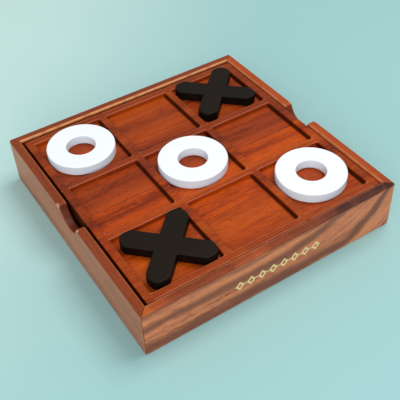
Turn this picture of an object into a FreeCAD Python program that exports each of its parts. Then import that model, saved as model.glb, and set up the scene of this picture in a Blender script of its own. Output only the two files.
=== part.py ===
import FreeCAD, Part
import math
import os

# Tic tac toe set: a square mitred box, a lift-out playing board glued up from four planks,
# five noughts and five crosses. Millimetres, +Z up, +Y towards the back rail.
# The origin is the centre of the box's footprint, at the level of its underside.

TOLERANCE = 1e-4

SIZES = [
    ("box_width", 180.0, "outside of the square box"),
    ("box_height", 34.4, "underside to rim"),
    ("rail_thickness", 6.0, "mitred side rails"),
    ("corner_radius", 1.3, "vertical outer corners"),
    ("rim_outer_round", 1.0, "outer arris of the rim"),
    ("rim_inner_round", 1.3, "inner arris of the rim"),
    ("base_round", 1.0, "outer arris of the underside"),
    ("notch_radius", 12.4, "finger notch arc"),
    ("notch_rise", 2.8, "notch arc centre above the rim"),
    ("notch_lip_round", 2.0, "where the notch meets the rim"),
    ("groove_depth", 2.5, "groove for the bottom panel"),
    ("panel_rise", 3.0, "panel underside above the table"),
    ("panel_thickness", 4.0, "bottom panel"),
    ("panel_play", 0.2, "panel edge to groove bottom"),
    ("ledge_thickness", 5.0, "strips that carry the board"),
    ("ledge_play", 0.1, "strip ends to the side rails"),
    ("ledge_round", 0.8, "inner top arris of a strip"),
    ("board_width", 165.4, "square playing board"),
    ("board_thickness", 10.0, "playing board"),
    ("board_drop", 1.0, "board top below the rim"),
    ("board_shift_right", 0.5, "board stands this far right of centre"),
    ("board_shift_back", -0.7, "board stands this far behind the centre"),
    ("board_corner", 1.5, "vertical corners of the board"),
    ("board_round", 0.5, "top arris of the board and pockets"),
    ("pocket_width", 48.3, "square pockets"),
    ("pocket_pitch", 53.3, "pocket centre to centre"),
    ("pocket_depth", 3.2, "pocket floor below the board top"),
    ("pocket_corner", 2.0, "vertical corners of a pocket"),
    ("seam_back", 40.0, "glue seam, distance behind centre"),
    ("seam_middle", -3.3, "glue seam nearest the centre"),
    ("seam_front", -46.6, "glue seam in front of centre"),
    ("piece_thickness", 7.0, "noughts and crosses"),
    ("nought_diameter", 45.3, "outside of a nought"),
    ("nought_hole", 19.3, "hole in a nought"),
    ("nought_round", 0.9, "arrises of a nought"),
    ("cross_span", 44.4, "a cross is cut from a square plate this wide"),
    ("cross_tip_round", 6.0, "corners of that plate, at the arms' tips"),
    ("arm_width", 13.7, "one arm of a cross"),
    ("arm_shoulder_round", 3.5, "vertical corners beside an arm's tip"),
    ("arm_crotch_round", 0.8, "vertical corners where arms meet"),
    ("cross_round", 0.7, "top and bottom arrises of a cross"),
    ("store_pitch", 54.0, "spacing of the stored pieces"),
]

# name, column, row, and how far the piece lies right of and behind its pocket's centre.
# Columns and rows -1, 0 and 1 count pockets from the left and from the front.
PLAYED_NOUGHTS = [
    ("nought_back_left", -1, 1, -0.7, 1.1),
    ("nought_centre", 0, 0, -0.5, 1.0),
    ("nought_front_right", 1, -1, 0.0, 1.1),
]
PLAYED_CROSSES = [
    ("cross_back_right", 1, 1, -0.8, 1.4),
    ("cross_front_left", -1, -1, 0.8, -1.2),
]
# name, steps of store_pitch along X and Y
STORED_NOUGHTS = [
    ("stored_nought_left", -1.0, 0.5),
    ("stored_nought_right", 1.0, 0.5),
]
STORED_CROSSES = [
    ("stored_cross_middle", 0.0, 0.5),
    ("stored_cross_left", -0.5, -0.5),
    ("stored_cross_right", 0.5, -0.5),
]
# name, turn about Z that brings the rail's outward side to its place
RAILS = [
    ("front_rail", -90.0),
    ("right_rail", 0.0),
    ("back_rail", 90.0),
    ("left_rail", 180.0),
]

FLOOR_OF_STORE = "Sizes.panel_rise + Sizes.panel_thickness"
BOARD_TOP = "Sizes.box_height - Sizes.board_drop"
BOARD_UNDERSIDE = BOARD_TOP + " - Sizes.board_thickness"
POCKET_FLOOR = BOARD_TOP + " - Sizes.pocket_depth"
INNER_WIDTH = "Sizes.box_width - 2 * Sizes.rail_thickness"
MARGIN = "10"

doc = FreeCAD.newDocument("tic_tac_toe_set")


def make_sheet():
    sheet = doc.addObject("Spreadsheet::Sheet", "Sizes")
    for row, (alias, value, note) in enumerate(SIZES, start=1):
        sheet.set("A%d" % row, alias)
        sheet.set("B%d" % row, str(value))
        sheet.set("C%d" % row, note)
        sheet.setAlias("B%d" % row, alias)
    doc.recompute()
    return sheet


def bind(item, **expressions):
    for prop, expression in expressions.items():
        item.setExpression(prop.replace("__", "."), expression)


def bind_place(item, x="0", y="0", z="0"):
    item.setExpression("Placement.Base.x", x)
    item.setExpression("Placement.Base.y", y)
    item.setExpression("Placement.Base.z", z)


def half(expression):
    return "-(%s) / 2" % expression


def new_body(name):
    body = doc.addObject("PartDesign::Body", name)
    body.Label = name
    return body


def add_block(body, kind, name, size, place):
    block = body.newObject(kind, name)
    bind(block, Length=size[0], Width=size[1], Height=size[2])
    bind_place(block, *place)
    doc.recompute()
    return block


def add_round_bar(body, kind, name, radius, height, place):
    bar = body.newObject(kind, name)
    bind(bar, Radius=radius, Height=height)
    bind_place(bar, *place)
    doc.recompute()
    return bar


def names_of(shape, chosen):
    return ["Edge%d" % n for n, edge in enumerate(shape.Edges, start=1) if chosen(edge)]


def add_fillet(body, name, radius, chosen):
    base = body.Tip
    fillet = body.newObject("PartDesign::Fillet", name)
    fillet.Base = (base, names_of(base.Shape, chosen))
    bind(fillet, Radius=radius)
    doc.recompute()
    return fillet


def is_upright(edge):
    box = edge.BoundBox
    return box.XLength < TOLERANCE and box.YLength < TOLERANCE


def is_level(edge, height):
    box = edge.BoundBox
    return abs(box.ZMin - height) < TOLERANCE and abs(box.ZMax - height) < TOLERANCE


def reach(edge):
    middle = edge.BoundBox.Center
    return max(abs(middle.x), abs(middle.y))


def make_frame(sizes):
    # The four rails as one glued frame, before it is divided at the mitres.
    body = new_body("box_frame")
    width = "Sizes.box_width"
    add_block(body, "PartDesign::AdditiveBox", "frame_blank",
              (width, width, "Sizes.box_height"), (half(width), half(width)))
    add_fillet(body, "frame_corners", "Sizes.corner_radius", is_upright)
    add_block(body, "PartDesign::SubtractiveBox", "frame_opening",
              (INNER_WIDTH, INNER_WIDTH, "Sizes.box_height + 2 * " + MARGIN),
              (half(INNER_WIDTH), half(INNER_WIDTH), "-" + MARGIN))
    cut_notches(body)
    round_rim(body, sizes)
    cut_panel_groove(body)
    add_fillet(body, "base_arris", "Sizes.base_round",
               lambda edge: is_level(edge, 0.0) and reach(edge) > sizes["outer"] - 1.0)
    return body


def cut_notches(body):
    bar = add_round_bar(body, "PartDesign::SubtractiveCylinder", "finger_notches",
                        "Sizes.notch_radius", "Sizes.box_width + 2 * " + MARGIN,
                        (half("Sizes.box_width + 2 * " + MARGIN), "0",
                         "Sizes.box_height + Sizes.notch_rise"))
    bar.Placement = FreeCAD.Placement(bar.Placement.Base,
                                      FreeCAD.Rotation(FreeCAD.Vector(0, 1, 0), 90))
    doc.recompute()


def round_rim(body, sizes):
    top = sizes["top"]
    outer = sizes["outer"]
    inner = sizes["inner"]
    lowest = top - sizes["notch_depth"] - 1.0

    def is_lip(edge):
        box = edge.BoundBox
        return is_level(edge, top) and box.YLength < TOLERANCE and box.XLength < outer - inner + 1.0

    def on_rim(edge):
        return edge.BoundBox.ZMin > lowest and not is_upright(edge)

    add_fillet(body, "notch_lips", "Sizes.notch_lip_round", is_lip)
    add_fillet(body, "rim_outer_arris", "Sizes.rim_outer_round",
               lambda edge: on_rim(edge) and reach(edge) > outer - 1.0)
    add_fillet(body, "rim_inner_arris", "Sizes.rim_inner_round",
               lambda edge: on_rim(edge) and abs(reach(edge) - inner) < 0.01)


def cut_panel_groove(body):
    width = INNER_WIDTH + " + 2 * Sizes.groove_depth"
    add_block(body, "PartDesign::SubtractiveBox", "panel_groove",
              (width, width, "Sizes.panel_thickness"),
              (half(width), half(width), "Sizes.panel_rise"))


def make_rail(frame, name, turn):
    # A quarter of the plan, its corner at the centre, takes one rail out of the frame.
    quarter = doc.addObject("Part::Box", name + "_quarter")
    bind(quarter, Length="Sizes.box_width", Width="Sizes.box_width",
         Height="Sizes.box_height + 2 * " + MARGIN)
    bind_place(quarter, z="-" + MARGIN)
    quarter.Placement = FreeCAD.Placement(quarter.Placement.Base,
                                          FreeCAD.Rotation(FreeCAD.Vector(0, 0, 1), turn - 45.0))
    rail = doc.addObject("Part::Common", name)
    rail.Base = frame
    rail.Tool = quarter
    rail.Label = name
    return rail


def make_panel():
    body = new_body("bottom_panel")
    width = INNER_WIDTH + " + 2 * Sizes.groove_depth - 2 * Sizes.panel_play"
    add_block(body, "PartDesign::AdditiveBox", "panel_blank",
              (width, width, "Sizes.panel_thickness"),
              (half(width), half(width), "Sizes.panel_rise"))
    return body


def make_ledge(name, side):
    # side is -1 for the front and 1 for the back
    body = new_body(name)
    length = INNER_WIDTH + " - 2 * Sizes.ledge_play"
    inner_half = "(%s) / 2" % INNER_WIDTH
    height = "%s - (%s)" % (BOARD_UNDERSIDE, FLOOR_OF_STORE)
    start = "-(%s)" % inner_half if side < 0 else inner_half + " - Sizes.ledge_thickness"
    add_block(body, "PartDesign::AdditiveBox", name + "_blank",
              (length, "Sizes.ledge_thickness", height),
              (half(length), start, FLOOR_OF_STORE))
    top = body.Tip.Shape.BoundBox.ZMax
    nearest = min(abs(edge.BoundBox.Center.y) for edge in body.Tip.Shape.Edges)
    add_fillet(body, name + "_arris", "Sizes.ledge_round",
               lambda edge: is_level(edge, top) and abs(abs(edge.BoundBox.Center.y) - nearest) < TOLERANCE)
    return body


def make_board():
    # The glued-up board with its nine pockets, before it is divided at the glue seams.
    body = new_body("board_blank")
    width = "Sizes.board_width"
    add_block(body, "PartDesign::AdditiveBox", "board_slab",
              (width, width, "Sizes.board_thickness"),
              (half(width) + " + Sizes.board_shift_right",
               half(width) + " + Sizes.board_shift_back", BOARD_UNDERSIDE))
    add_fillet(body, "board_corners", "Sizes.board_corner", is_upright)
    for row in (-1, 0, 1):
        for column in (-1, 0, 1):
            cut_pocket(body, column, row)
    top = body.Tip.Shape.BoundBox.ZMax
    add_fillet(body, "board_arris", "Sizes.board_round", lambda edge: is_level(edge, top))
    return body


def pocket_centre(column, row):
    return ("%d * Sizes.pocket_pitch + Sizes.board_shift_right" % column,
            "%d * Sizes.pocket_pitch + Sizes.board_shift_back" % row)


def cut_pocket(body, column, row):
    name = "pocket_%d_%d" % (column + 2, row + 2)
    width = "Sizes.pocket_width"
    right, back = pocket_centre(column, row)
    block = add_block(body, "PartDesign::SubtractiveBox", name,
                      (width, width, "Sizes.pocket_depth + " + MARGIN),
                      (right + " - Sizes.pocket_width / 2", back + " - Sizes.pocket_width / 2",
                       POCKET_FLOOR))
    centre = FreeCAD.Vector(block.Placement.Base.x + block.Length.Value / 2,
                            block.Placement.Base.y + block.Width.Value / 2, 0)
    limit = block.Length.Value

    def in_this_pocket(edge):
        middle = edge.BoundBox.Center
        offset = max(abs(middle.x - centre.x), abs(middle.y - centre.y))
        return is_upright(edge) and offset < limit / 2 + TOLERANCE

    add_fillet(body, name + "_corners", "Sizes.pocket_corner", in_this_pocket)


def make_plank(board, name, start, end):
    slab = doc.addObject("Part::Box", name + "_slab")
    bind(slab, Length="Sizes.box_width", Width="(%s) - (%s)" % (end, start),
         Height="Sizes.box_height + 2 * " + MARGIN)
    bind_place(slab, half("Sizes.box_width"), start, "-" + MARGIN)
    plank = doc.addObject("Part::Common", name)
    plank.Base = board
    plank.Tool = slab
    plank.Label = name
    return plank


def make_planks(board):
    edge = "Sizes.board_width / 2 + " + MARGIN
    return [
        make_plank(board, "board_plank_back", "Sizes.seam_back", edge),
        make_plank(board, "board_plank_second", "Sizes.seam_middle", "Sizes.seam_back"),
        make_plank(board, "board_plank_third", "Sizes.seam_front", "Sizes.seam_middle"),
        make_plank(board, "board_plank_front", "-(%s)" % edge, "Sizes.seam_front"),
    ]


def make_nought(name, place):
    body = new_body(name)
    add_round_bar(body, "PartDesign::AdditiveCylinder", name + "_disc",
                  "Sizes.nought_diameter / 2", "Sizes.piece_thickness", ())
    add_round_bar(body, "PartDesign::SubtractiveCylinder", name + "_hole",
                  "Sizes.nought_hole / 2", "Sizes.piece_thickness", ())
    add_fillet(body, name + "_arrises", "Sizes.nought_round",
               lambda edge: isinstance(edge.Curve, Part.Circle))
    bind_place(body, *place)
    return body


def make_cross(name, place):
    # A plate with rounded corners, less a right-angled wedge on each of its four sides.
    body = new_body(name)
    span = "Sizes.cross_span"
    add_block(body, "PartDesign::AdditiveBox", name + "_plate",
              (span, span, "Sizes.piece_thickness"), (half(span), half(span)))
    side = body.Tip.Shape.BoundBox.XMax
    top = body.Tip.Shape.BoundBox.ZMax
    add_fillet(body, name + "_tips", "Sizes.cross_tip_round", is_upright)
    for quarter, (x, y) in enumerate(((1, 0), (0, 1), (-1, 0), (0, -1))):
        crotch = cut_wedge(body, "%s_wedge_%d" % (name, quarter + 1), x, y, 90.0 * quarter - 45.0)
    shoulder = math.hypot(side, side - crotch)

    def stands_at(edge, distance):
        middle = edge.BoundBox.Center
        return is_upright(edge) and abs(math.hypot(middle.x, middle.y) - distance) < 0.01

    add_fillet(body, name + "_crotches", "Sizes.arm_crotch_round", lambda edge: stands_at(edge, crotch))
    add_fillet(body, name + "_shoulders", "Sizes.arm_shoulder_round",
               lambda edge: stands_at(edge, shoulder))
    add_fillet(body, name + "_arrises", "Sizes.cross_round",
               lambda edge: is_level(edge, top) or is_level(edge, 0.0))
    bind_place(body, *place)
    return body


def cut_wedge(body, name, x, y, turn):
    """Cuts one wedge and returns the distance of its point from the middle of the cross."""
    distance = "Sizes.arm_width * sqrt(2) / 2"
    wedge = add_block(body, "PartDesign::SubtractiveBox", name,
                      ("Sizes.cross_span", "Sizes.cross_span", "Sizes.piece_thickness"),
                      ("%d * %s" % (x, distance), "%d * %s" % (y, distance)))
    wedge.Placement = FreeCAD.Placement(wedge.Placement.Base,
                                        FreeCAD.Rotation(FreeCAD.Vector(0, 0, 1), turn))
    doc.recompute()
    return math.hypot(wedge.Placement.Base.x, wedge.Placement.Base.y)


def played_place(column, row, right, back):
    x, y = pocket_centre(column, row)
    return ("%s + %s" % (x, right), "%s + %s" % (y, back), POCKET_FLOOR)


def stored_place(across, back):
    return ("%s * Sizes.store_pitch" % across, "%s * Sizes.store_pitch" % back, FLOOR_OF_STORE)


def make_pieces():
    pieces = [make_nought(name, played_place(*where)) for name, *where in PLAYED_NOUGHTS]
    pieces += [make_cross(name, played_place(*where)) for name, *where in PLAYED_CROSSES]
    pieces += [make_nought(name, stored_place(across, back)) for name, across, back in STORED_NOUGHTS]
    pieces += [make_cross(name, stored_place(across, back)) for name, across, back in STORED_CROSSES]
    return pieces


def read_sizes(sheet):
    width = float(sheet.get("box_width"))
    return {
        "outer": width / 2,
        "inner": width / 2 - float(sheet.get("rail_thickness")),
        "top": float(sheet.get("box_height")),
        "notch_depth": float(sheet.get("notch_radius")) - float(sheet.get("notch_rise")),
    }


def check_document():
    for item in doc.Objects:
        for word in ("Invalid", "Error"):
            if word in item.State:
                raise RuntimeError("%s is %s" % (item.Name, item.State))


def export(nodes):
    os.makedirs("parts", exist_ok=True)
    for node in nodes:
        shape = node.Shape
        if shape.isNull() or not shape.isValid():
            raise RuntimeError(node.Label + " has no valid shape")
        if len(shape.Solids) != 1:
            raise RuntimeError("%s has %d solids" % (node.Label, len(shape.Solids)))
        shape.exportStep("parts/%s.step" % node.Label)


def main():
    sizes = read_sizes(make_sheet())
    frame = make_frame(sizes)
    nodes = [make_rail(frame, name, turn) for name, turn in RAILS]
    nodes.append(make_panel())
    nodes.append(make_ledge("front_ledge", -1))
    nodes.append(make_ledge("back_ledge", 1))
    nodes += make_planks(make_board())
    nodes += make_pieces()
    doc.recompute()
    check_document()
    export(nodes)


main()
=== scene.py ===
import math

import bmesh
import bpy
from mathutils import Matrix, Vector


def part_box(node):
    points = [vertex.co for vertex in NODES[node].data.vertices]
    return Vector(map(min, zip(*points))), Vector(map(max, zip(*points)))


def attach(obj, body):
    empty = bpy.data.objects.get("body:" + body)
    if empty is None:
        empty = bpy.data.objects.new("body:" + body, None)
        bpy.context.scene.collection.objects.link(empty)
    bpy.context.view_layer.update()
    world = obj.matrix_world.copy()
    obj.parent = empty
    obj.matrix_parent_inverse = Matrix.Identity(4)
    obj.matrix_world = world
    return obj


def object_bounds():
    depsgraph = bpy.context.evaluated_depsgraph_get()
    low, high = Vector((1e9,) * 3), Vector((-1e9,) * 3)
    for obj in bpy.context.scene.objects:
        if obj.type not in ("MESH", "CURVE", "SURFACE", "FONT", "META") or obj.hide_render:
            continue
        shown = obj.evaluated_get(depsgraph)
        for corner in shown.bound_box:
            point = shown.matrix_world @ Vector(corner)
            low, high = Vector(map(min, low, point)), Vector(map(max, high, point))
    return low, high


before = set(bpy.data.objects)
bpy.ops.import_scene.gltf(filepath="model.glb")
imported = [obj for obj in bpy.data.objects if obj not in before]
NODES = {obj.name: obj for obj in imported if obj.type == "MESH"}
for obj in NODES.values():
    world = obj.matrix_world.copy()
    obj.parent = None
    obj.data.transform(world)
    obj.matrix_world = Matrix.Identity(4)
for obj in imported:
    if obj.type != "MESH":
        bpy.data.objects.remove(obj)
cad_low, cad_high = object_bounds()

# Metres. +X right, +Y towards the back rail, +Z up, as in the CAD.
MM = 0.001

# Camera: where it looks, from where, and its lens.
AIM = Vector((0.00233, -0.00228, 0.0))
AZIMUTH = math.radians(-31.017)
ELEVATION = math.radians(43.627)
ROLL = math.radians(-2.821)
DISTANCE = 0.4927
LENS = 65.68

# Where the box's parts are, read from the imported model.
RAIL_FACE_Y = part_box("front_rail")[0].y
BOX_HALF = cad_high.x
BOX_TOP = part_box("back_rail")[1].z
BOARD_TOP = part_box("board_plank_front")[1].z
BOARD_CENTRE = (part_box("board_plank_front")[0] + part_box("board_plank_back")[1]) / 2
SEAMS = (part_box("board_plank_front")[1].y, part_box("board_plank_third")[1].y,
         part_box("board_plank_second")[1].y)

# Sizes from the CAD that no bounding box gives: the rails, and the pockets and their spacing.
RAIL_THICKNESS = 6 * MM
POCKET_PITCH = 53.3 * MM
POCKET_HALF = 24.15 * MM


def srgb(red, green, blue):
    """An 8-bit display colour as linear RGBA."""
    def linear(value):
        value = value / 255
        return value / 12.92 if value <= 0.04045 else ((value + 0.055) / 1.055) ** 2.4
    return (linear(red), linear(green), linear(blue), 1.0)


class Shader:
    """A material and short calls that add nodes to it."""

    def __init__(self, name):
        self.material = bpy.data.materials.new(name)
        self.material.use_nodes = True
        self.tree = self.material.node_tree
        self.surface = self.tree.nodes["Principled BSDF"]

    def add(self, kind, **settings):
        node = self.tree.nodes.new(kind)
        for key, value in settings.items():
            setattr(node, key, value)
        return node

    def feed(self, socket, value):
        if isinstance(value, bpy.types.NodeSocket):
            self.tree.links.new(value, socket)
        else:
            socket.default_value = value

    def set(self, **values):
        for key, value in values.items():
            self.feed(self.surface.inputs[key.replace("_", " ")], value)

    def math(self, operation, *values):
        node = self.add("ShaderNodeMath", operation=operation)
        for socket, value in zip(node.inputs, values):
            self.feed(socket, value)
        return node.outputs[0]

    def position(self):
        """The point's x, y and z in the object's own coordinates."""
        coordinates = self.add("ShaderNodeTexCoord")
        split = self.add("ShaderNodeSeparateXYZ")
        self.feed(split.inputs[0], coordinates.outputs["Object"])
        return split.outputs

    def scaled(self, scales, seed=0.0):
        """The object's coordinates scaled for a noise, and shifted sideways by the seed."""
        x, y, z = self.position()
        return self.join(self.math("MULTIPLY_ADD", x, scales[0], seed),
                         self.math("MULTIPLY_ADD", y, scales[1], seed),
                         self.math("MULTIPLY", z, scales[2]))

    def product(self, *values):
        """All the values multiplied together."""
        result = values[0]
        for value in values[1:]:
            result = self.math("MULTIPLY", result, value)
        return result

    def strongest(self, *masks):
        """The largest of the masks at each point."""
        result = masks[0]
        for mask in masks[1:]:
            result = self.math("MAXIMUM", result, mask)
        return result

    def size_of(self, value):
        return self.math("ABSOLUTE", value)

    def less(self, value, amount):
        return self.math("SUBTRACT", value, amount)

    def line(self, distance, width):
        """One on the line where distance is nought, falling to nought at width."""
        return self.between(self.size_of(distance), width * 0.3, width, 1.0, 0.0)

    def facing_up(self):
        """The upward part of the surface's direction: one on level tops and nought on walls."""
        geometry = self.add("ShaderNodeNewGeometry")
        split = self.add("ShaderNodeSeparateXYZ")
        self.feed(split.inputs[0], geometry.outputs["Normal"])
        return split.outputs[2]

    def join(self, x, y, z):
        node = self.add("ShaderNodeCombineXYZ")
        for socket, value in zip(node.inputs, (x, y, z)):
            self.feed(socket, value)
        return node.outputs[0]

    def noise(self, vector, detail=2.0, roughness=0.5, distortion=0.0):
        node = self.add("ShaderNodeTexNoise")
        self.feed(node.inputs["Vector"], vector)
        node.inputs["Scale"].default_value = 1.0
        node.inputs["Detail"].default_value = detail
        node.inputs["Roughness"].default_value = roughness
        node.inputs["Distortion"].default_value = distortion
        return node.outputs[0]

    def between(self, value, low, high, to_low=0.0, to_high=1.0):
        """A smooth step from to_low at low to to_high at high."""
        node = self.add("ShaderNodeMapRange", interpolation_type="SMOOTHSTEP")
        for socket, number in zip(node.inputs, (value, low, high, to_low, to_high)):
            self.feed(socket, number)
        return node.outputs[0]

    def mix(self, factor, first, second, blend="MIX"):
        node = self.add("ShaderNodeMix", data_type="RGBA", blend_type=blend)
        self.feed(node.inputs["Factor"], factor)
        self.feed(node.inputs[6], first)
        self.feed(node.inputs[7], second)
        return node.outputs[2]

    def ramp(self, value, stops):
        node = self.add("ShaderNodeValToRGB")
        elements = node.color_ramp.elements
        elements[0].position, elements[0].color = stops[0]
        elements[1].position, elements[1].color = stops[-1]
        for place, colour in stops[1:-1]:
            elements.new(place).color = colour
        self.feed(node.inputs[0], value)
        return node.outputs[0]

    def bump(self, height, distance, strength=1.0):
        node = self.add("ShaderNodeBump")
        node.inputs["Strength"].default_value = strength
        node.inputs["Distance"].default_value = distance
        self.feed(node.inputs["Height"], height)
        self.feed(self.surface.inputs["Normal"], node.outputs[0])


# Colours of glue lines, painted shade and painted highlights; the rail arris is wear and painted
# highlight.
GLUE_LINE = srgb(34, 12, 7)
POCKET_SHADE = srgb(46, 15, 6)
NOTCH_SHADE = srgb(52, 20, 16)
ARRIS_WEAR_AND_HIGHLIGHT = srgb(222, 146, 92)
NOTCH_LIP_HIGHLIGHT = srgb(250, 196, 150)
POCKET_ARRIS_HIGHLIGHT = srgb(214, 140, 110)

# Tints that the rims multiply the rails' colour by: painted shade, darker and redder than the outer
# faces.
DARK_RIM = (0.56, 0.31, 0.17, 1.0)
DEEP_RIM = (0.60, 0.36, 0.20, 1.0)
BRIGHT_RIM = (0.86, 0.41, 0.14, 1.0)
DULL_END = (0.22, 0.17, 0.20, 1.0)
GOLDEN_END = (0.95, 0.62, 0.22, 1.0)

WOOD_SPECULAR = 0.2
PAINT_SPECULAR = 0.15


# Timber

def swept(shader, across, height, start, rise):
    """The height less a parabola that begins at start, so that lines along the grain sweep up."""
    past = shader.math("MAXIMUM", shader.less(across, start), 0.0)
    return shader.less(height, shader.product(past, past, rise))


def grain_axes(shader, along, seed, sweep):
    """Coordinates with u along the grain, bent a little so that no line is ruled straight."""
    x, y, z = shader.position()
    u, v = (x, y) if along == "X" else (y, x)
    w = swept(shader, u, z, *sweep) if sweep else z
    slow = shader.join(shader.math("MULTIPLY_ADD", u, 9.0, seed),
                       shader.math("MULTIPLY_ADD", v, 22.0, seed * 1.7),
                       shader.math("MULTIPLY_ADD", w, 22.0, seed * 0.6))
    wander = shader.product(shader.less(shader.noise(slow, 2.0), 0.5), 12 * MM)
    return u, shader.math("ADD", v, wander), shader.math("ADD", w, wander)


def stretched(shader, axes, along, across, seed):
    """The grain coordinates scaled for a noise: features per metre along and across."""
    u, v, w = axes
    return shader.join(shader.math("MULTIPLY_ADD", u, along, seed),
                       shader.math("MULTIPLY_ADD", v, across, seed * 2.3),
                       shader.math("MULTIPLY_ADD", w, across, seed * 3.1))


def joint_lines(shader, kind):
    """The dark hairlines of glue at the mitres of the box or the seams of the board."""
    x, y, _ = shader.position()
    if kind == "mitre":
        return shader.line(shader.less(shader.size_of(x), shader.size_of(y)), 0.4 * MM)
    return shader.strongest(*[shader.line(shader.less(y, seam), 0.22 * MM) for seam in SEAMS])


def face_bands(shader, bands):
    """Broad dark streaks: height, half width, strength, and where and how fast each sweeps up."""
    x, _, z = shader.position()
    ripple = shader.join(shader.product(x, 22.0), 3.0, shader.product(z, 90.0))
    wavy = shader.noise(ripple, 3.0, 0.6)
    masks = []
    for centre, half_width, strength, start, rise in bands:
        height = swept(shader, x, z, start, rise)
        height = shader.math("MULTIPLY_ADD", shader.less(wavy, 0.5), 11 * MM, height)
        distance = shader.size_of(shader.less(height, centre))
        masks.append(shader.between(distance, half_width * 0.1, half_width * 1.15, strength, 0.0))
    return shader.strongest(*masks)


def rail_finish(shader, colour, rim, wear_and_highlight, ends_differ):
    """A darker rim and inner faces, painted shade, and a paler inner arris, wear and a painted
    highlight.
    """
    x, y, z = shader.position()
    if ends_differ:
        dull = shader.mix(shader.between(x, 20 * MM, 56 * MM), rim, DULL_END)
        rim = shader.mix(shader.between(x, -86 * MM, -80 * MM, 1.0, 0.0), dull, GOLDEN_END)
    outward = shader.strongest(shader.size_of(x), shader.size_of(y))
    outer = shader.between(outward, BOX_HALF - 1.3 * MM, BOX_HALF - 0.5 * MM)
    below = shader.between(z, BOX_TOP - 1.2 * MM, BOX_TOP - 0.5 * MM, 1.0, 0.0)
    # Painted shade: the rim and inner faces take the rim tint, and the outer faces keep the wood's
    # colour.
    rim_shaded = shader.mix(1.0, colour, rim, "MULTIPLY")
    colour = shader.mix(shader.product(outer, below), rim_shaded, colour)

    # Paler wood on the inner arris: wear and a painted highlight, its strength set per rail.
    arris = shader.line(shader.less(outward, BOX_HALF - RAIL_THICKNESS + 0.45 * MM), 1.0 * MM)
    high = shader.between(z, BOX_TOP - 2.0 * MM, BOX_TOP - 1.0 * MM)
    patchy = shader.noise(shader.scaled((130.0, 130.0, 0.0)))
    arris_wear_and_highlight = shader.product(arris, high, shader.between(patchy, 0.3, 0.55, wear_and_highlight * 0.5, wear_and_highlight))
    return shader.mix(arris_wear_and_highlight, colour, ARRIS_WEAR_AND_HIGHLIGHT)


def notch_finish(shader, colour):
    """Painted shade inside the finger notch, and a painted highlight on its outer corners."""
    x, y, z = shader.position()
    # Painted shade inside the notch.
    inside = shader.between(shader.size_of(y), 11.5 * MM, 13.0 * MM, 1.0, 0.0)
    sunk = shader.between(z, BOX_TOP - 11.1 * MM, BOX_TOP - 10.7 * MM)
    behind = shader.between(shader.size_of(x), BOX_HALF - 0.7 * MM, BOX_HALF - 0.2 * MM, 1.0, 0.0)
    colour = shader.mix(shader.product(inside, sunk, behind, 0.6), colour, NOTCH_SHADE)

    # Painted highlight on the notch's outer lips.
    lip = shader.line(shader.less(shader.size_of(y), 13.3 * MM), 1.9 * MM)
    high = shader.between(z, BOX_TOP - 2.4 * MM, BOX_TOP - 1.0 * MM)
    outer = shader.between(shader.size_of(x), BOX_HALF - 1.4 * MM, BOX_HALF - 0.7 * MM)
    return shader.mix(shader.product(lip, high, outer, 0.5), colour, NOTCH_LIP_HIGHLIGHT)


def pocket_finish(shader, colour):
    """A darker top, painted shade along the pocket walls, most on the right, and painted arris
    highlights.
    """
    x, y, z = shader.position()
    from_board_centre = []
    from_pocket_centre = []
    for value, centre in ((x, BOARD_CENTRE.x), (y, BOARD_CENTRE.y)):
        shifted = shader.less(value, centre)
        pocket = shader.math("ROUND", shader.math("DIVIDE", shifted, POCKET_PITCH))
        from_board_centre.append(shader.size_of(shifted))
        from_pocket_centre.append(shader.less(shifted, shader.product(pocket, POCKET_PITCH)))
    across, back = from_pocket_centre
    reach = shader.strongest(shader.size_of(across), shader.size_of(back))
    depth = shader.less(BOARD_TOP, z)

    edge = POCKET_PITCH + POCKET_HALF
    margin = shader.between(shader.strongest(*from_board_centre),
                            edge - 0.25 * MM, edge + 0.75 * MM, 0.80, 0.72)
    top = shader.between(depth, 0.3 * MM, 0.7 * MM, 1.0, 0.0)
    dim = shader.mix(top, (1.0, 1.0, 1.0, 1.0), shader.join(margin, margin, margin))
    colour = shader.mix(1.0, colour, dim, "MULTIPLY")

    # Painted shade: a dark line at the foot of every wall, and a painted shadow on the right wall
    # and the floor beside it.
    low = shader.between(depth, 0.5 * MM, 1.0 * MM)
    foot = shader.between(reach, POCKET_HALF - 0.9 * MM, POCKET_HALF - 0.15 * MM, 0.0, 0.22)
    right = shader.between(across, POCKET_HALF - 2.0 * MM, POCKET_HALF - 0.6 * MM, 0.0, 0.85)
    colour = shader.mix(shader.product(shader.strongest(foot, right), low), colour, POCKET_SHADE)

    # Painted highlight on the front and back arrises of the pockets.
    arris = shader.line(shader.less(reach, POCKET_HALF + 0.25 * MM), 0.5 * MM)
    front_or_back = shader.math("GREATER_THAN", shader.size_of(back), POCKET_HALF - 0.6 * MM)
    shallow = shader.between(depth, 0.4 * MM, 0.7 * MM, 0.28, 0.0)
    return shader.mix(shader.product(arris, front_or_back, shallow), colour, POCKET_ARRIS_HIGHLIGHT)


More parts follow.
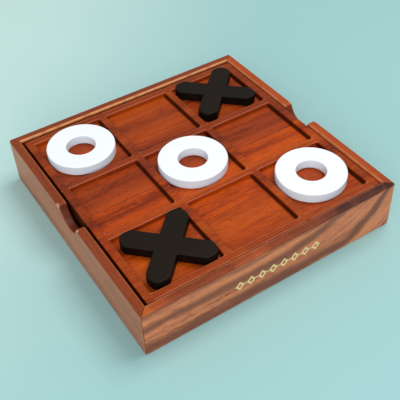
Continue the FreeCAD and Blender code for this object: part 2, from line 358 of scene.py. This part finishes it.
def timber(name, along, seed, tones, contrast, sweep=None, lines=None, gloss=0.36, bands=(),
           rim=None, wear_and_highlight=0.0, ends_differ=False):
    """Varnished red-brown hardwood.

    tones are the dark streak, the middle and the light colour. sweep and bands bend the grain
    and add broad streaks. rim tints a rail's rim and inner faces, a painted shade, and
    wear_and_highlight sets its paler inner arris, wear and a painted highlight. lines adds its
    mitres or the seams, and with the seams the pockets' painted shade and highlights.
    """
    dark, middle, light = tones
    shader = Shader(name)
    axes = grain_axes(shader, along, seed, sweep)
    broad = shader.noise(stretched(shader, axes, 3.0, 70.0, seed), 3.0, 0.55, 0.3)
    ribbon = shader.noise(stretched(shader, axes, 6.0, 260.0, seed + 2.0), 3.0, 0.55, 0.4)
    fleck = shader.noise(stretched(shader, axes, 260.0, 1300.0, seed + 31.0), 2.0, 0.6)
    fibre = shader.noise(stretched(shader, axes, 16.0, 1000.0, seed + 4.0), 3.0, 0.6)
    figure = shader.noise(stretched(shader, axes, 60.0, 170.0, seed + 13.0), 3.0, 0.6)
    pore_noise = shader.noise(stretched(shader, axes, 90.0, 2600.0, seed + 21.0), 1.0, 0.5)
    pores = shader.between(pore_noise, 0.60, 0.74)

    tone = broad
    for layer, weight in ((ribbon, 0.35), (fleck, 0.55), (fibre, 0.55), (figure, 0.3)):
        tone = shader.math("MULTIPLY_ADD", shader.less(layer, 0.5), weight, tone)
    spread = 0.24 / contrast
    colour = shader.ramp(tone, [(0.5 - spread, dark), (0.5, middle), (0.5 + spread, light)])
    if bands:
        colour = shader.mix(face_bands(shader, bands), colour, dark)
    colour = shader.mix(shader.product(pores, 0.35), colour, dark)
    if rim:
        colour = rail_finish(shader, colour, rim, wear_and_highlight, ends_differ)
    if rim and along == "Y":
        colour = notch_finish(shader, colour)
    if lines == "seam":
        colour = pocket_finish(shader, colour)
    if lines:
        colour = shader.mix(shader.product(joint_lines(shader, lines), 0.8), colour, GLUE_LINE)

    rough = shader.math("MULTIPLY_ADD", shader.less(fibre, 0.5), 0.16, gloss)
    rough = shader.math("MULTIPLY_ADD", pores, 0.2, rough)
    shader.set(Base_Color=colour, Roughness=rough, Specular_IOR_Level=WOOD_SPECULAR)
    height = shader.math("MULTIPLY_ADD", pores, -0.8, shader.product(fibre, 0.6))
    shader.bump(height, 0.10 * MM, 0.6)
    return shader.material


# Paint and gold

def paint(name, colour, side, wear_and_highlight, gloss, seed, edge_wear):
    """Brushed paint on wood: faint grain, a little wear, and painted shade in the side colour on
    the sides.
    """
    shader = Shader(name)
    brushed = shader.noise(shader.scaled((260.0, 1500.0, 1500.0), seed), 2.0, 0.55)
    cloud = shader.noise(shader.scaled((70.0, 70.0, 70.0), seed), 4.0, 0.6)
    speck = shader.noise(shader.scaled((1300.0, 1300.0, 1300.0), seed), 2.0, 0.5)
    # Painted shade: walls take the side colour, and level tops the paint's own colour.
    painted = shader.mix(shader.between(shader.facing_up(), 0.1, 0.8), side, colour)
    tint = shader.mix(shader.between(cloud, 0.3, 0.75, 0.0, 0.35), painted, wear_and_highlight)
    tint = shader.mix(shader.between(speck, 0.70, 0.78, 0.0, edge_wear), tint, wear_and_highlight)
    rough = shader.math("MULTIPLY_ADD", shader.less(cloud, 0.5), 0.25, gloss)
    shader.set(Base_Color=tint, Roughness=rough, Specular_IOR_Level=PAINT_SPECULAR)
    height = shader.math("ADD", shader.product(brushed, 0.6), shader.product(speck, 0.4))
    shader.bump(height, 0.08 * MM, 0.45)
    return shader.material


def gold_leaf():
    """Pale gold foil, a little brushed."""
    shader = Shader("gold_leaf")
    grain = shader.noise(shader.scaled((900.0, 1.0, 2600.0)), 3.0, 0.6)
    tint = shader.mix(shader.between(grain, 0.35, 0.65), srgb(246, 200, 132), srgb(254, 224, 168))
    shader.set(Base_Color=tint, Metallic=0.15, Roughness=shader.between(grain, 0.3, 0.7, 0.32, 0.5))
    shader.bump(grain, 0.05 * MM, 0.5)
    return shader.material


def assign(material, *nodes):
    for name in nodes:
        mesh = NODES[name].data
        mesh.materials.clear()
        mesh.materials.append(material)


def finish_rails():
    face = (srgb(116, 62, 47), srgb(214, 124, 82), srgb(236, 145, 92))
    side = (srgb(146, 80, 52), srgb(182, 108, 72), srgb(200, 124, 82))
    bands = ((4.5 * MM, 7.0 * MM, 0.85, 42 * MM, 16.0),
             (21.5 * MM, 5.6 * MM, 0.8, 0.0, 5.2),
             (33.0 * MM, 3.0 * MM, 0.6, 60 * MM, 9.0))
    # The rim tints are painted shade; the arris strength after each makes the inner arris paler,
    # wear and a painted highlight, strongest on the back rail.
    assign(timber("front_rail_wood", "X", 3.0, face, 0.9, sweep=(30 * MM, 8.0), lines="mitre",
                  bands=bands, rim=DEEP_RIM, wear_and_highlight=0.5, ends_differ=True), "front_rail")
    for rail, along, seed, rim, wear_and_highlight in (("back_rail", "X", 11.0, DARK_RIM, 1.0),
                                         ("left_rail", "Y", 17.0, DARK_RIM, 0.2),
                                         ("right_rail", "Y", 29.0, BRIGHT_RIM, 0.45)):
        assign(timber(rail + "_wood", along, seed, side, 0.8, lines="mitre",
                      rim=rim, wear_and_highlight=wear_and_highlight), rail)


def finish_board():
    """Each plank has its own seed, contrast and tones."""
    planks = {
        "plank_back": (41.0, 0.7, (srgb(112, 38, 10), srgb(170, 65, 9), srgb(192, 82, 16))),
        "plank_second": (53.0, 0.75, (srgb(104, 34, 8), srgb(160, 59, 12), srgb(182, 73, 18))),
        "plank_third": (67.0, 0.85, (srgb(124, 40, 3), srgb(187, 69, 3), srgb(212, 90, 7))),
        "plank_front": (79.0, 0.85, (srgb(134, 44, 3), srgb(178, 68, 4), srgb(204, 88, 10))),
    }
    for name, (seed, contrast, tones) in planks.items():
        assign(timber(name + "_wood", "X", seed, tones, contrast, lines="seam"), "board_" + name)


def finish_inside():
    """Plainer, duller wood where nobody looks: the bottom panel and the ledges."""
    plain = (srgb(92, 50, 30), srgb(140, 82, 52), srgb(160, 102, 68))
    assign(timber("panel_wood", "X", 97.0, plain, 0.8, gloss=0.5), "bottom_panel")
    assign(timber("ledge_wood", "X", 103.0, plain, 0.8, gloss=0.5), "front_ledge", "back_ledge")


def finish_pieces():
    # The side colours are painted shade, darker than the tops; on the white it is bluish, a painted
    # reflection.
    white = paint("white_paint", colour=srgb(254, 254, 254), side=srgb(232, 243, 252),
                  wear_and_highlight=srgb(244, 248, 250), gloss=0.42, seed=5.0, edge_wear=0.2)
    black = paint("black_paint", colour=srgb(24, 14, 4), side=srgb(5, 3, 1),
                  wear_and_highlight=srgb(30, 20, 10), gloss=0.5, seed=15.0, edge_wear=0.25)
    for name in NODES:
        if "nought" in name:
            assign(white, name)
        if "cross" in name:
            assign(black, name)


# Ornament: a row of open diamonds, with small solid ones between them, in gold on the front rail

ORNAMENT_WIDTH = 63 * MM
ORNAMENT_CENTRE = (1 * MM, 16.7 * MM)
ORNAMENT_COUNT = 8
DIAMOND_HALF_HEIGHT = 3.6 * MM
STROKE_ACROSS = 1.75 * MM
STROKE_UP = 1.9 * MM
DOT_HALF_WIDTH = 0.6 * MM
DOT_HALF_HEIGHT = 0.9 * MM
LEAF_PROUD = 0.06 * MM


def diamond(x, z, half_width, half_height):
    return [(x + half_width, z), (x, z + half_height), (x - half_width, z), (x, z - half_height)]


def loop(mesh, points, y):
    return [mesh.verts.new((x, y, z)) for x, z in points]


def front_and_back(mesh, points):
    """The same loop of points just in front of the rail's face and just behind it."""
    return (loop(mesh, points, RAIL_FACE_Y - LEAF_PROUD),
            loop(mesh, points, RAIL_FACE_Y + LEAF_PROUD))


def add_walls(mesh, first, second):
    """Faces that join two loops of as many corners."""
    for i in range(len(first)):
        j = (i + 1) % len(first)
        mesh.faces.new((first[i], first[j], second[j], second[i]))


def add_band(mesh, outer, inner):
    """A flat outline between two loops of points, with a shallow side all round."""
    front_outer, back_outer = front_and_back(mesh, outer)
    front_inner, back_inner = front_and_back(mesh, inner)
    add_walls(mesh, front_outer, front_inner)
    add_walls(mesh, back_inner, back_outer)
    add_walls(mesh, back_outer, front_outer)
    add_walls(mesh, front_inner, back_inner)


def add_patch(mesh, outline):
    """A flat patch inside one loop of points, with a shallow side all round."""
    front, back = front_and_back(mesh, outline)
    mesh.faces.new(front)
    mesh.faces.new(reversed(back))
    add_walls(mesh, back, front)


def make_ornament():
    mesh = bmesh.new()
    pitch = ORNAMENT_WIDTH / ORNAMENT_COUNT
    half_width = pitch * 0.41
    middle_x, z = ORNAMENT_CENTRE
    for i in range(ORNAMENT_COUNT):
        x = middle_x + (i - (ORNAMENT_COUNT - 1) / 2) * pitch
        add_band(mesh, diamond(x, z, half_width, DIAMOND_HALF_HEIGHT),
                 diamond(x, z, half_width - STROKE_ACROSS, DIAMOND_HALF_HEIGHT - STROKE_UP))
        if i:
            add_patch(mesh, diamond(x - pitch / 2, z, DOT_HALF_WIDTH, DOT_HALF_HEIGHT))
    bmesh.ops.recalc_face_normals(mesh, faces=mesh.faces)
    data = bpy.data.meshes.new("front_ornament")
    mesh.to_mesh(data)
    mesh.free()
    data.materials.append(gold_leaf())
    piece = bpy.data.objects.new("front_ornament", data)
    bpy.context.scene.collection.objects.link(piece)
    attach(piece, "box")


# Stage

def make_floor():
    """A painted table with painted light, a little paler towards the back left."""
    bpy.ops.mesh.primitive_plane_add(size=6.0, location=(0, 0, 0))
    floor = bpy.context.object
    floor.name = "floor"
    shader = Shader("painted_table")
    x, y, _ = shader.position()
    cloud = shader.noise(shader.scaled((7.0, 7.0, 0.0)), 3.0)
    # Painted light: the table grows paler towards the back left.
    fade = shader.math("MULTIPLY_ADD", x, -0.66, shader.product(y, 0.75))
    fade = shader.math("MULTIPLY_ADD", shader.less(cloud, 0.5), 0.06, fade)
    tint = shader.mix(shader.between(fade, -0.03, 0.27), srgb(163, 208, 206), srgb(209, 238, 229))
    shader.set(Base_Color=tint, Roughness=0.6)
    floor.data.materials.append(shader.material)


def add_area(name, place, size, power, colour):
    """A rectangular light that faces the origin."""
    light = bpy.data.lights.new(name, "AREA")
    light.shape = "RECTANGLE"
    light.size, light.size_y = size
    light.energy = power
    light.color = colour
    lamp = bpy.data.objects.new(name, light)
    lamp.location = place
    lamp.rotation_euler = (-Vector(place)).to_track_quat("-Z", "Y").to_euler()
    bpy.context.scene.collection.objects.link(lamp)


def make_light():
    world = bpy.data.worlds.new("studio")
    bpy.context.scene.world = world
    world.use_nodes = True
    backdrop = world.node_tree.nodes["Background"]
    backdrop.inputs["Color"].default_value = (0.86, 0.94, 1.0, 1.0)
    backdrop.inputs["Strength"].default_value = 0.42
    add_area("key", place=(0.50, 0.0, 1.2), size=(0.7, 0.7), power=7.9,
             colour=(1.0, 0.985, 0.965))
    add_area("front_fill", place=(-0.8, -1.0, 0.75), size=(1.2, 0.9), power=12.0,
             colour=(0.93, 0.97, 1.0))


def make_camera():
    camera = bpy.data.cameras.new("camera")
    camera.lens = LENS
    camera.sensor_width = 36.0
    camera.clip_start = 0.01
    viewer = bpy.data.objects.new("camera", camera)
    back = Vector((math.sin(AZIMUTH) * math.cos(ELEVATION),
                   -math.cos(AZIMUTH) * math.cos(ELEVATION),
                   math.sin(ELEVATION)))
    level = (-back).to_track_quat("-Z", "Y").to_matrix().to_4x4()
    place = Matrix.Translation(AIM + back * DISTANCE)
    viewer.matrix_world = place @ level @ Matrix.Rotation(ROLL, 4, "Z")
    bpy.context.scene.collection.objects.link(viewer)
    bpy.context.scene.camera = viewer


make_camera()
make_floor()
make_light()
finish_rails()
finish_board()
finish_inside()
finish_pieces()
make_ornament()
bpy.context.scene.view_settings.view_transform = "Standard"

bpy.context.view_layer.update()
